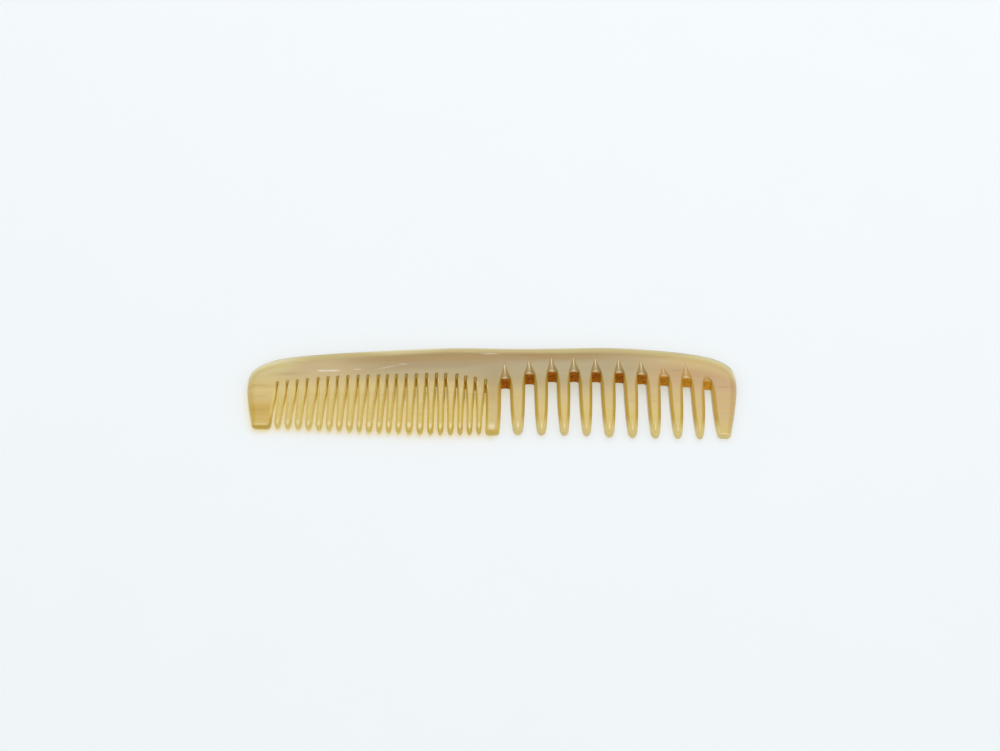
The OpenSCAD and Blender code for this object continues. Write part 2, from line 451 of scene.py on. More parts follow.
@dataclass(frozen=True)
class CutStyle:
    """How one half of the comb is sawn and filed.

    Attributes:
        mouth_width: Width of a gap between the tips.
        flare: Power with which the gap widens on its way there.
        pinch: How much narrower the gap is a little below its root.
        root_bevel: Width of the bevel at the root.
        tip_bevel: Width of the bevel from bevel_reach on.
        bevel_reach: Share of the way to the mouth at which the bevel is at its widest.
        drop: Depth of the bevel.
        valley: Depth of the groove's middle line where it meets the root.
        nose: Length of a tooth's rounded end.
        pointedness: 1 for an elliptical end, more for a pointed one.
        tooth_cells: Grid cells across a tooth.
        gap_cells: Grid cells across a gap.
        lean: How far the foot of the root's wall lies nearer the tips than its top.
        glint: 1 where the bevels catch the light, -1 where half of each groove lies in shade.
        apex_lean: How far the groove's far end lies to the left.
        groove: How much of the groove's finish shows.
        bow: Power with which the groove's sides bow out, or 0 for straight ones.
    """

    mouth_width: float
    flare: float
    pinch: float
    root_bevel: float
    tip_bevel: float
    bevel_reach: float
    drop: float
    valley: float
    nose: float
    pointedness: float
    tooth_cells: int
    gap_cells: int
    lean: float
    glint: float
    apex_lean: float
    groove: float
    bow: float


FINE_STYLE = CutStyle(
    mouth_width=1.1, flare=0.8, pinch=0.54, root_bevel=0.08, tip_bevel=0.6,
    bevel_reach=0.3, drop=0.45, valley=0.55, nose=2.3, pointedness=0.97, tooth_cells=4,
    gap_cells=2, lean=1.6, glint=1.0, apex_lean=0.0, groove=0.3, bow=0.0,
)
WIDE_STYLE = CutStyle(
    mouth_width=3.7, flare=3.0, pinch=0.0, root_bevel=0.3, tip_bevel=1.0,
    bevel_reach=0.22, drop=0.6, valley=0.65, nose=2.2, pointedness=1.0, tooth_cells=6,
    gap_cells=4, lean=0.9, glint=-1.0, apex_lean=0.4, groove=1.0, bow=0.8,
)


@dataclass(frozen=True)
class Gap:
    """The space between two teeth, from its root at share 0 to its mouth at share 1.

    Attributes:
        x: X of the middle of the root.
        root_y: Y of the root.
        lean: How far the mouth lies to the left of the root.
        style: How this half of the comb is sawn and filed.
        groove_length: How far the groove runs on past the root.
        root_width: Width at the root.
        pinch_in: Shares between which the pinch comes on.
        pinch_out: Shares between which it goes again.
        glint_in: Shares between which the glint on the bevel comes on.
        glint_out: Shares between which it goes again.
        lean_reach: Share from which on the sides stand upright.
        groove_taper: Power with which the groove narrows to its far end.
        groove_roundness: Roundness of the groove's edge.
    """

    x: float
    root_y: float
    lean: float
    style: CutStyle
    groove_length: float
    root_width: float
    pinch_in: Span = (0.06, 0.2)
    pinch_out: Span = (0.22, 0.57)
    glint_in: Span = (0.02, 0.08)
    glint_out: Span = (0.18, 0.28)
    lean_reach: float = 0.3
    groove_taper: float = 1.15
    groove_roundness: float = 0.15

    def middle(self, share: float) -> float:
        """X of the middle line, from the root at 0 to where the tips begin to round at 1."""
        return self.x - self.lean * share

    def width(self, share: float) -> float:
        """Width at a share of the way to the mouth.

        Args:
            share: Share of the way.

        Returns:
            The width in millimetres.
        """
        style = self.style
        closed = ramp(share, *self.pinch_in) * (1 - ramp(share, *self.pinch_out))
        return mix(self.root_width, style.mouth_width, share**style.flare) - style.pinch * closed

    def bevel(self, share: float) -> float:
        """Width of the bevel along the gap's sides."""
        style = self.style
        return mix(style.root_bevel, style.tip_bevel, ease(share / style.bevel_reach))

    def flank(self, side: Side, share: float, end_y: float) -> Station:
        """Station on one side of the gap.

        Args:
            side: Which side of the gap.
            share: 0 at the root, 1 where the tooth tip begins to round.
            end_y: Y of that beginning.

        Returns:
            The station.
        """
        out = side.value
        x = self.middle(share) + out * self.width(share) / 2
        y = mix(self.root_y, end_y, share)
        bevel = out * self.bevel(share)
        glint = 0.0
        if side is Side.RIGHT and self.style.glint > 0:
            glint = ramp(share, *self.glint_in) * (1 - ramp(share, *self.glint_out))
        lean = self.style.lean * (1 - ease(share / self.lean_reach))
        return Station(
            Vector((x, y)), Vector((x + bevel, y)), self.style.drop, glint=glint, lean=lean
        )

    def root(self, across: float) -> Station:
        """Station on the root, between the two corners.

        Args:
            across: -1 at the left corner, 0 in the middle, 1 at the right corner.

        Returns:
            The station, whose edge is the groove that runs on into the back.
        """
        style = self.style
        half = self.root_width / 2
        inner = 1 - abs(across)
        climb = ease(inner) ** style.bow if style.bow else inner
        spread = (half + style.root_bevel) * (1 - climb) ** self.groove_taper
        face_x = self.x + math.copysign(spread, across) - style.apex_lean * climb
        face = Vector((face_x, self.root_y + self.groove_length * climb))
        return Station(
            rim=Vector((self.x + across * half, self.root_y)),
            face=face,
            drop=mix(style.drop, style.valley, inner),
            roundness=self.groove_roundness,
            gullet=1.0,
            groove=style.groove,
            glint=min(0.0, style.glint) * float(across > 0),
            lean=style.lean,
        )


@dataclass(frozen=True)
class TipHighlight:
    """The painted highlight on the face behind a tooth's end.

    Attributes:
        inset: How far its middle lies from the end.
        to_tip: Its reach from there towards the end.
        to_root: Its reach towards the root.
        half_width: Its reach to either side, as a share of the tooth's width.
        roundness: 0 for a bar across the tooth, more for a spot that fades to its sides.
        shift: How much further in it lies beyond the second of the two places in shift_x.
        shift_x: X of the two places between which it shifts.
        no_reach: What is left of its reach beside it.
    """

    inset: float
    to_tip: float
    to_root: float
    half_width: float = 1.0
    roundness: float = 0.0
    shift: float = 0.0
    shift_x: Span = (0.0, 1.0)
    no_reach: float = 0.01

    def mark(self, inset: float, x: float, across: float) -> float:
        """What is painted on the face for the highlight, 0 at its middle.

        Args:
            inset: Distance from the end of the tooth.
            x: X of the point.
            across: 0 at the left side of the tooth, 1 at the right side.

        Returns:
            Distance from the middle of the highlight in units of its own reach.
        """
        offset = inset - self.inset - self.shift * ramp(x, *self.shift_x)
        reach = self.to_tip if offset < 0 else self.to_root
        if abs(across - 0.5) > self.half_width:
            reach = self.no_reach
        if self.roundness:
            return math.hypot(offset / reach, self.roundness * (2 * across - 1))
        return offset / reach


GUARD_HIGHLIGHT = TipHighlight(0.8, to_tip=0.24, to_root=0.24)
TIP_HIGHLIGHTS: dict[ToothKind, TipHighlight] = {
    ToothKind.LEFT_GUARD: GUARD_HIGHLIGHT,
    ToothKind.FINE: TipHighlight(1.85, to_tip=0.9, to_root=1.5, shift=-0.6, shift_x=(-30.0, -55.0)),
    ToothKind.MIDDLE: TipHighlight(1.35, to_tip=0.5, to_root=2.4, half_width=0.42),
    ToothKind.WIDE: TipHighlight(
        1.6, to_tip=0.8, to_root=2.4, roundness=1.2, shift=0.7, shift_x=(15.0, 40.0)
    ),
    ToothKind.RIGHT_GUARD: GUARD_HIGHLIGHT,
}


@dataclass(frozen=True)
class Tooth:
    """One tooth between two gaps, or between a gap and an end of the comb.

    The sizes that start with block are those of the guards and the middle tooth, whose ends are
    flat, and the roundings are how far the round of an end reaches in from it.
    """

    kind: ToothKind
    left: Gap | None
    right: Gap | None
    plate: Plate
    rim: Curve
    block_nose: float = 1.2
    block_corner: float = 0.9
    block_inner_corner: float = 0.3
    block_bevel: float = 1.25
    block_cells: int = 9
    guard_rounding: float = 0.75
    tip_rounding: float = 1.15

    @property
    def is_block(self) -> bool:
        """Whether the tooth has a flat end."""
        return self.kind in (ToothKind.LEFT_GUARD, ToothKind.MIDDLE, ToothKind.RIGHT_GUARD)

    @property
    def cells(self) -> int:
        """Number of grid cells across the tooth."""
        return self.block_cells if self.is_block else self.right.style.tooth_cells

    @cached_property
    def tip_y(self) -> float:
        """Y of the end of the tooth.

        Returns:
            Y in millimetres, from TIP_ROWS at the middle of the tooth.
        """
        left = self.left.middle(1) if self.left else -self.plate.half_length
        right = self.right.middle(1) if self.right else self.plate.half_length
        return lookup((left + right) / 2, TIP_ROWS)

    @property
    def nose(self) -> float:
        """Length of the rounded end."""
        return self.block_nose if self.is_block else self.right.style.nose

    @property
    def pointedness(self) -> float:
        """1 for an elliptical end, more for a pointed one."""
        return 1.0 if self.is_block else self.right.style.pointedness

    @property
    def end_rounding(self) -> float:
        """How far the rounding of the end reaches in from it."""
        is_guard = self.is_block and self.kind is not ToothKind.MIDDLE
        return self.guard_rounding if is_guard else self.tip_rounding

    def highlight_mark(self, point: Vector, across: float) -> float:
        """What is painted at a point of the tooth for the painted highlight behind its end."""
        return TIP_HIGHLIGHTS[self.kind].mark(point.y - self.tip_y, point.x, across)

    def flank(self, side: Side, share: float) -> Station:
        """Station on one side of the tooth, from its root at 0 to its rounded end at 1.

        Args:
            side: Which side of the tooth.
            share: Share of the way from the root to the rounded end.

        Returns:
            The station.
        """
        gap = self.right if side is Side.RIGHT else self.left
        end_y = self.tip_y + self.nose
        if gap is not None:
            other = Side.LEFT if side is Side.RIGHT else Side.RIGHT
            station = gap.flank(other, share, end_y)
            if not self.is_block:
                return station
            widen = mix(1.0, self.block_bevel, ease(share / gap.style.bevel_reach))
            return replace(station, face=mix(station.rim, station.face, widen))
        neighbour = self.left or self.right
        return self.outer_side(side, mix(neighbour.root_y, end_y, share))

    def outer_side(self, side: Side, y: float) -> Station:
        """Station on the outer side of a guard at a given Y.

        Args:
            side: Which end of the comb.
            y: Y of the station.

        Returns:
            The station.
        """
        last = len(self.rim.rows) - 1
        low, high = (0, SHOULDER_ROWS[0]) if side is Side.LEFT else (SHOULDER_ROWS[1], last)
        return rim_station(self.rim, self.rim.where(1, y, low, high), self.plate)

    def end(self, side: Side, turn: float) -> Station:
        """Station on the rounded end, turn degrees on from the end of the flank.

        Args:
            side: Which side of the tooth.
            turn: 0 at the end of the flank, 90 at the very tip.

        Returns:
            The station.
        """
        start, other = self.flank(side, 1.0), self.flank(Side(-side.value), 1.0)
        out = side.value
        draw_in = abs(start.rim.x - other.rim.x) / 2
        inner_draw_in = abs(start.face.x - other.face.x) / 2
        if self.is_block:
            draw_in, inner_draw_in = self.block_corner, self.block_inner_corner
        angle = math.radians(turn)
        closing = 1 - max(0.0, math.cos(angle)) ** self.pointedness
        reach = 1 - math.sin(angle) ** self.pointedness
        rim = Vector((start.rim.x - out * draw_in * closing, self.tip_y + self.nose * reach))
        inner_y = self.tip_y + mix(self.end_rounding, self.nose, reach)
        face = Vector((start.face.x - out * inner_draw_in * closing, inner_y))
        share = math.sin(angle)
        drop = self.plate.rim_drop * self.plate.thickness(rim)
        return Station(
            rim,
            face,
            mix(start.drop, drop, share),
            under=mix(start.under, 1.0, share),
            roundness=mix(start.roundness, 1.0, share),
            filed=mix(start.filed, 1.0, share),
        )

    def tip(self, across: float) -> Station:
        """Station on the lowest grid row.

        Args:
            across: 0 at the left corner of the row, 1 at the right corner.

        Returns:
            The station.
        """
        side = Side.LEFT if across < 0.5 else Side.RIGHT
        inner = 1 - abs(2 * across - 1)
        first_turn = TOOTH_ROWS[0][1]
        if not self.is_block:
            return self.end(side, mix(first_turn, 90, inner))
        corner_cells = 2 / self.cells
        if inner < corner_cells:
            return self.end(side, mix(first_turn, 90, inner / corner_cells))
        left, right = self.end(Side.LEFT, 90), self.end(Side.RIGHT, 90)
        share = (across - corner_cells / 2) / (1 - corner_cells)
        return Station(
            mix(left.rim, right.rim, share),
            mix(left.face, right.face, share),
            mix(left.drop, right.drop, share),
            under=1.0,
            roundness=1.0,
        )


def rim_station(rim: Curve, place: float, plate: Plate) -> Station:
    """Station on the rounded outline of the back and the ends.

    Args:
        rim: The outline.
        place: Place on it.
        plate: The plate.

    Returns:
        The station.
    """
    point = rim.at(place)
    return Station(
        rim=point,
        face=point + rim.inward(place) * plate.rounding(point),
        drop=plate.rim_drop * plate.thickness(point),
        under=1.0,
        roundness=1.0,
        filed=0.0,
    )


@dataclass
class Comb:
    """The whole comb as one body: a grid that is cut, thickened and then drawn to shape.

    Attributes:
        plate: The plate of horn.
        rim: Outline of the back and the ends.
        subdivision: Levels of subdivision that polish the grid.
        end_fade_columns: Columns over which the grid straightens from the ends of the comb.
        tip_fade_rows: Rows over which it straightens from the tips.
        fine_notch: Length of the small groove behind a fine root.
        fine_root_width: Width of a fine cut at its root.
        back_steps: Number of steps in back_table.
        sharp_roundness: Edges that are flatter than this keep a crease at the face.
        valley_crease: Crease down the middle of a root's groove.
        brink_crease: Crease where a flat bevel meets the face.
        roots_row: Row of the grid on which the roots lie.
        rows: Rows of the grid.
        gaps: The gaps, from the left.
        teeth: The teeth, from the left.
        tooth_columns: First grid column of each tooth.
        gap_columns: First grid column of each gap.
        columns: Columns of the grid.
        stations: Rim points by column and row.
    """

    plate: Plate = field(default_factory=Plate)
    rim: Curve = field(default_factory=lambda: Curve(RIM_ROWS))
    subdivision: int = 1
    end_fade_columns: int = 7
    tip_fade_rows: int = 4
    fine_notch: float = 0.35
    fine_root_width: float = 0.66
    back_steps: int = 140
    sharp_roundness: float = 0.5
    valley_crease: float = 0.6
    brink_crease: float = 0.5
    roots_row: int = len(TOOTH_ROWS) - 1
    rows: int = len(TOOTH_ROWS) - 1 + BODY_ROWS
    gaps: list[Gap] = field(init=False)
    teeth: list[Tooth] = field(init=False)
    tooth_columns: list[int] = field(init=False, default_factory=list)
    gap_columns: list[int] = field(init=False, default_factory=list)
    columns: int = field(init=False, default=0)
    stations: dict[tuple[int, int], Station] = field(init=False)

    def __post_init__(self) -> None:
        """Works out the gaps, the teeth and the grid columns that they take."""
        self.gaps = [
            Gap(x, y, lean, FINE_STYLE, self.fine_notch, self.fine_root_width)
            for x, y, lean in FINE_CUTS
        ]
        self.gaps += [
            Gap(x, y, lean, WIDE_STYLE, groove, width) for x, y, lean, groove, width in WIDE_CUTS
        ]
        self.teeth = [self.make_tooth(index) for index in range(len(self.gaps) + 1)]
        for index, tooth in enumerate(self.teeth):
            self.tooth_columns.append(self.columns)
            self.columns += tooth.cells
            if index < len(self.gaps):
                self.gap_columns.append(self.columns)
                self.columns += self.gaps[index].style.gap_cells
        self.stations = self.make_stations()

    def make_tooth(self, index: int) -> Tooth:
        """Tooth number index, counted from the left end.

        Args:
            index: Number of the tooth.

        Returns:
            The tooth, with its two gaps.
        """
        last, middle = len(self.gaps), len(FINE_CUTS)
        kinds = {0: ToothKind.LEFT_GUARD, middle: ToothKind.MIDDLE, last: ToothKind.RIGHT_GUARD}
        kind = kinds.get(index, ToothKind.FINE if index < middle else ToothKind.WIDE)
        left = self.gaps[index - 1] if index > 0 else None
        right = self.gaps[index] if index < last else None
        return Tooth(kind, left, right, self.plate, self.rim)

    def make_stations(self) -> dict[tuple[int, int], Station]:
        """Stations of every grid point on the rim, by column and row.

        Returns:
            The stations, which are on the tips, flanks, roots and outline.
        """
        made: dict[tuple[int, int], Station] = {}
        for tooth, first in zip(self.teeth, self.tooth_columns):
            last = first + tooth.cells
            for row, (share, turn) in enumerate(TOOTH_ROWS):
                for column, side in ((first, Side.LEFT), (last, Side.RIGHT)):
                    made[column, row] = (
                        tooth.end(side, turn) if turn else tooth.flank(side, share)
                    )
            for cell in range(1, tooth.cells):
                made[first + cell, 0] = tooth.tip(cell / tooth.cells)
        for gap, first in zip(self.gaps, self.gap_columns):
            cells = gap.style.gap_cells
            for cell in range(cells + 1):
                made[first + cell, self.roots_row] = gap.root(2 * cell / cells - 1)
        self.add_back_stations(made)
        return made

    def add_back_stations(self, made: dict[tuple[int, int], Station]) -> None:
        """Adds the stations of the two ends above the roots and of the back edge.

        Args:
            made: The stations so far, to which they are added.
        """
        left, right = SHOULDER_ROWS
        for row in range(self.roots_row + 1, self.rows + 1):
            share = (row - self.roots_row) / BODY_ROWS
            for tooth, column, side, shoulder in (
                (self.teeth[0], 0, Side.LEFT, left),
                (self.teeth[-1], self.columns, Side.RIGHT, right),
            ):
                root_y = (tooth.left or tooth.right).root_y
                y = mix(root_y, self.rim.at(shoulder).y, share)
                made[column, row] = tooth.outer_side(side, y)
        start, end = self.rim.at(left).x, self.rim.at(right).x
        first, last = self.root_x(0), self.root_x(self.columns)
        for column in range(1, self.columns):
            x = mix(start, end, (self.root_x(column) - first) / (last - first))
            place = self.rim.where(0, x, left, right)
            made[column, self.rows] = rim_station(self.rim, place, self.plate)

    def strip(self, column: int) -> tuple[Tooth | None, int, int]:
        """Tooth or gap that a grid column crosses.

        Args:
            column: Number of the grid column.

        Returns:
            The tooth, or None over a gap, and the first and last column of the strip.
        """
        for tooth, first in zip(self.teeth, self.tooth_columns):
            if first <= column <= first + tooth.cells:
                return tooth, first, first + tooth.cells
        for gap, first in zip(self.gaps, self.gap_columns):
            if first < column < first + gap.style.gap_cells:
                return None, first, first + gap.style.gap_cells
        raise ValueError(f"no strip holds column {column}")

    def root_x(self, column: int) -> float:
        """X of a grid column on the line of the roots.

        Args:
            column: Number of the grid column.

        Returns:
            X in millimetres.
        """
        tooth, first, last = self.strip(column)
        share = (column - first) / (last - first)
        if tooth is None:
            gap = self.gaps[self.gap_columns.index(first)]
            half = gap.root_width / 2 + gap.style.root_bevel
            return gap.x + half * (2 * share - 1)
        left, right = tooth.flank(Side.LEFT, 0).face.x, tooth.flank(Side.RIGHT, 0).face.x
        return mix(left, right, share)

    def face_plan(self, column: int, row: int, upper: bool) -> Vector:
        """Plan of a grid point on the upper face or the underside.

        Args:
            column: Grid column.
            row: Grid row.
            upper: Whether the point is on the upper face.

        Returns:
            The point in plan.
        """
        own = self.stations.get((column, row))
        if own is not None and (row < self.rows or 0 < column < self.columns):
            return own.face_at(upper)
        if row <= self.roots_row:
            return self.tooth_plan(column, row, upper)
        return self.body_plan(column, row, upper)

    def tooth_plan(self, column: int, row: int, upper: bool) -> Vector:
        """Plan of a grid point inside a tooth, between its two flanks and above its tip.

        Args:
            column: Grid column.
            row: Grid row.
            upper: Whether the point is on the upper face.

        Returns:
            The point in plan.
        """
        _, first, last = self.strip(column)
        share = (column - first) / (last - first)

        def rung(at_row: int) -> Vector:
            """Point at the same share of the way across another row."""
            ends = [self.stations[end, at_row].face_at(upper) for end in (first, last)]
            return mix(ends[0], ends[1], share)

        bulge = self.stations[column, 0].face_at(upper) - rung(0)
        fade = max(0.0, 1 - row / self.tip_fade_rows) ** 2
        return rung(row) + bulge * fade

    def body_plan(self, column: int, row: int, upper: bool) -> Vector:
        """Plan of a grid point between the roots and the back edge.

        Args:
            column: Grid column.
            row: Grid row.
            upper: Whether the point is on the upper face.

        Returns:
            The point in plan.
        """
        share = (row - self.roots_row) / BODY_ROWS

        def rung(at_column: int) -> Vector:
            """Point at the same share of the way up another column."""
            low = self.face_plan(at_column, self.roots_row, upper)
            return mix(low, self.stations[at_column, self.rows].face_at(upper), share)

        point = rung(column)
        for end, distance in ((0, column), (self.columns, self.columns - column)):
            fade = max(0.0, 1 - distance / self.end_fade_columns) ** 2
            if fade:
                point += (self.stations[end, row].face_at(upper) - rung(end)) * fade
        return point

    def place(self, column: int, row: int, level: int) -> tuple[Vector, Station | None]:
        """Draws one grid point to its place on the comb.

        Args:
            column: Grid column.
            row: Grid row.
            level: Level of the rim; the first and the last are the two faces.

        Returns:
            The point in millimetres, and its station if it lies on the rim.
        """
        own = self.stations.get((column, row))
        if own is not None:
            return own.place(level, self.plate), own
        upper = level > 0
        plan = self.face_plan(column, row, upper)
        return Vector((plan.x, plan.y, self.plate.top(plan) if upper else 0.0)), None

    def cut_grid(self, mesh: bmesh.types.BMesh) -> None:
        """Makes the grid, one unit to a cell, and takes out the cells between the teeth.

        Args:
            mesh: The empty mesh to fill.
        """
        matrix = Matrix.Translation((self.columns / 2, self.rows / 2, 0)) @ Matrix.Diagonal(
            (self.columns, self.rows, 1, 1)
        )
        bmesh.ops.create_grid(
            mesh, x_segments=self.columns, y_segments=self.rows, size=0.5, matrix=matrix
        )
        spans = [
            (first, first + gap.style.gap_cells)
            for gap, first in zip(self.gaps, self.gap_columns)
        ]
        waste = []
        for face in mesh.faces:
            centre = face.calc_center_median()
            if centre.y < self.roots_row and any(a < centre.x < b for a, b in spans):
                waste.append(face)
        bmesh.ops.delete(mesh, geom=waste, context="FACES")

    def thicken(self, mesh: bmesh.types.BMesh) -> None:
        """Lifts a copy of the sheet and divides the walls between into the rim's levels.

        Args:
            mesh: The cut sheet.
        """
        levels = len(RIM_LEVELS) - 1
        lifted = bmesh.ops.extrude_face_region(mesh, geom=mesh.faces[:], use_keep_orig=True)
        verts = [item for item in lifted["geom"] if isinstance(item, bmesh.types.BMVert)]
        bmesh.ops.translate(mesh, verts=verts, vec=(0, 0, levels))
        posts = [edge for edge in mesh.edges if edge.verts[0].co.z != edge.verts[1].co.z]
        bmesh.ops.subdivide_edges(mesh, edges=posts, cuts=levels - 1, use_grid_fill=True)

    def draw_to_shape(self, mesh: bmesh.types.BMesh) -> None:
        """Moves every grid point to its place and paints what the horn finish reads.

        Args:
            mesh: The thickened grid, whose points stand at whole numbers.
        """
        layers = {name: mesh.verts.layers.float.new(name) for name in PAINTED}
        top_level = len(RIM_LEVELS) - 1
        valleys, brinks = set(), set()
        cells = {vert: tuple(round(part) for part in vert.co) for vert in mesh.verts}
        for vert, (column, row, level) in cells.items():
            point, station = self.place(column, row, level)
            masks = self.face_masks(point, column, row)
            if station is not None:
                masks.update(station.masks(level))
                if station.gullet and column in self.middle_columns and RIM_LEVELS[level][1] == 1:
                    valleys.add(vert)
                if level == top_level and station.roundness < self.sharp_roundness:
                    brinks.add(vert)
            for name, mask in masks.items():
                vert[layers[name]] = mask
            vert.co = point * MM
        crease = mesh.edges.layers.float.new("crease_edge")
        for edge in mesh.edges:
            for sharp, weight in ((valleys, self.valley_crease), (brinks, self.brink_crease)):
                if edge.verts[0] in sharp and edge.verts[1] in sharp:
                    edge[crease] = weight

    def face_masks(self, point: Vector, column: int, row: int) -> dict[str, float]:
        """What is painted at any point of the comb.

        Args:
            point: The point in millimetres.
            column: Its grid column.
            row: Its grid row.

        Returns:
            Masks by their names in PAINTED.
        """
        tooth, first, last = self.strip(column)
        tip_highlight = NO_HIGHLIGHT
        if tooth and row <= self.roots_row:
            tip_highlight = min(NO_HIGHLIGHT, tooth.highlight_mark(point, (column - first) / (last - first)))
        back = lookup(point.x, self.back_table) - point.y
        return {"back": back, "valley": float(column in self.middle_columns), "tip": tip_highlight}

    @cached_property
    def middle_columns(self) -> set[int]:
        """Grid columns that run down the middle of a gap."""
        gaps = zip(self.gaps, self.gap_columns)
        return {first + gap.style.gap_cells // 2 for gap, first in gaps}

    @cached_property
    def back_table(self) -> Table:
        """Points of the back edge at an even spacing in X.

        Returns:
            Rows of X and Y, from the left shoulder to the right one.
        """
        left, right = SHOULDER_ROWS
        start, end = self.rim.at(left).x, self.rim.at(right).x
        spots = (mix(start, end, step / self.back_steps) for step in range(self.back_steps + 1))
        return tuple((x, self.rim.at(self.rim.where(0, x, left, right)).y) for x in spots)

    def build(self) -> bpy.types.Object:
        """Models the comb.

        Returns:
            The object, at the origin.
        """
        mesh = bmesh.new()
        self.cut_grid(mesh)
        self.thicken(mesh)
        self.draw_to_shape(mesh)
        bmesh.ops.recalc_face_normals(mesh, faces=mesh.faces[:])
        for face in mesh.faces:
            face.smooth = True
        piece = add_mesh("horn_comb", mesh)
        smooth = piece.modifiers.new("polish", "SUBSURF")
        smooth.levels = smooth.render_levels = self.subdivision
        return piece

    def dress(self, piece: bpy.types.Object, material: bpy.types.Material) -> None:
        """Gives the comb its finish and its place in the row.

        Args:
            piece: The comb.
            material: The horn.
        """
        piece.data.materials.append(material)
        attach(piece, "root")
        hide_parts("comb")
        LOG.info("%s: %d faces before subdivision", piece.name, len(piece.data.polygons))


class Value:
    """A number that varies over a surface: a node's output, with Python's arithmetic."""

    def __init__(self, graph: "Graph", socket: bpy.types.NodeSocket) -> None:
        """Wraps a socket of the graph."""
        self.graph = graph
        self.socket = socket

    def math(self, operation: str, *others: "Value | float") -> "Value":
        """Adds a Math node that works on this value and the others."""
        inputs = dict(enumerate((self, *others)))
        return self.graph.value("ShaderNodeMath", {"operation": operation}, inputs)

    def __add__(self, other: "Value | float") -> "Value":
        """Sum."""
        return self.math("ADD", other)

    __radd__ = __add__

    def __sub__(self, other: "Value | float") -> "Value":
        """Difference."""
        return self.math("SUBTRACT", other)

    def __rsub__(self, other: float) -> "Value":
        """Difference from a number."""
        return (self * -1) + other

    def __mul__(self, other: "Value | float") -> "Value":
        """Product."""
        return self.math("MULTIPLY", other)

    __rmul__ = __mul__

    def __abs__(self) -> "Value":
        """Size without its sign."""
        return self.math("ABSOLUTE")

    def step(self, start: float, end: float) -> "Value":
        """Smooth step from 0 at start to 1 at end, either way round.

        Args:
            start: Where it leaves 0.
            end: Where it reaches 1.

        Returns:
            The step.
        """
        rising = start < end
        inputs = {
            "Value": self, "From Min": min(start, end), "From Max": max(start, end),
            "To Min": float(not rising), "To Max": float(rising),
        }
        settings = {"interpolation_type": "SMOOTHSTEP"}
        return self.graph.value("ShaderNodeMapRange", settings, inputs)

    def band(self, centre: float, reach: float) -> "Value":
        """1 at centre, falling smoothly to 0 at reach on either side."""
        return abs(self - centre).step(reach, 0.0)


# A colour, or the socket of one that varies
Paint = Colour | bpy.types.NodeSocket
# How much of a coat shows, and its colour
Coat = tuple[Value, Paint]


def tone(red: int, green: int, blue: int) -> Colour:
    """Linear colour of a screen colour given in 0 to 255.

    Args:
        red: Red on the screen.
        green: Green on the screen.
        blue: Blue on the screen.

    Returns:
        The linear colour.
    """

    def linear(part: int) -> float:
        """Linear strength of one part."""
        share = part / 255
        return share / 12.92 if share <= 0.04045 else ((share + 0.055) / 1.055) ** 2.4

    return linear(red), linear(green), linear(blue)


class Graph:
    """The nodes of one material or of the world."""

    def __init__(self, owner: bpy.types.Material | bpy.types.World) -> None:
        """Clears the owner's nodes.

        Args:
            owner: The material or the world.
        """
        self.owner = owner
        owner.use_nodes = True
        self.tree = owner.node_tree
        self.tree.nodes.clear()

    def node(self, kind: str, settings: dict, inputs: dict) -> bpy.types.Node:
        """Adds a node.

        Args:
            kind: Type of the node.
            settings: Its own settings, which are set first.
            inputs: Values, colours or links for its sockets, by name or number.

        Returns:
            The node.
        """
        made = self.tree.nodes.new(kind)
        for name, setting in settings.items():
            setattr(made, name, setting)
        for key, content in inputs.items():
            if isinstance(content, Value):
                content = content.socket
            if isinstance(content, bpy.types.NodeSocket):
                self.tree.links.new(content, made.inputs[key])
            else:
                socket = made.inputs[key]
                if isinstance(content, tuple) and socket.type == "RGBA":
                    content = (*content, 1.0)
                socket.default_value = content
        return made

    def value(self, kind: str, settings: dict, inputs: dict, output: int | str = 0) -> Value:
        """Adds a node and returns one of its outputs as a value."""
        return Value(self, self.node(kind, settings, inputs).outputs[output])

    def attribute(self, name: str) -> Value:
        """Value painted on the mesh under a name."""
        return self.value("ShaderNodeAttribute", {"attribute_name": name}, {}, "Fac")

    def lay(self, base: Paint, *coats: Coat) -> bpy.types.NodeSocket:
        """Lays coats of colour one over another.

        Args:
            base: Colour below them all.
            coats: For each coat, the share of it that shows and its colour.

        Returns:
            The colour that results.
        """
        settings = {"data_type": "RGBA", "clamp_factor": True}
        for share, colour in coats:
            base = self.node("ShaderNodeMix", settings, {0: share, 6: base, 7: colour}).outputs[2]
        return base

    def noise(
        self, place: bpy.types.NodeSocket, rate: Triple, detail: float = 3.0,
        distortion: float = 0.0,
    ) -> Value:
        """Noise in stretched coordinates.

        Args:
            place: Coordinates.
            rate: Cycles along each axis for one unit of them.
            detail: Octaves.
            distortion: How far the noise is bent by itself.

        Returns:
            The noise, from 0 to 1 about 0.5.
        """
        scaled = self.node(
            "ShaderNodeVectorMath", {"operation": "MULTIPLY"}, {0: place, 1: rate}
        ).outputs[0]
        inputs = {"Vector": scaled, "Scale": 1.0, "Detail": detail, "Distortion": distortion}
        return self.value("ShaderNodeTexNoise", {}, inputs, "Fac")

    def finish(self, surface: bpy.types.Node) -> bpy.types.Material:
        """Connects a shader to the material's output.

        Args:
            surface: The shader.

        Returns:
            The material.
        """
        self.node("ShaderNodeOutputMaterial", {}, {"Surface": surface.outputs[0]})
        return self.owner


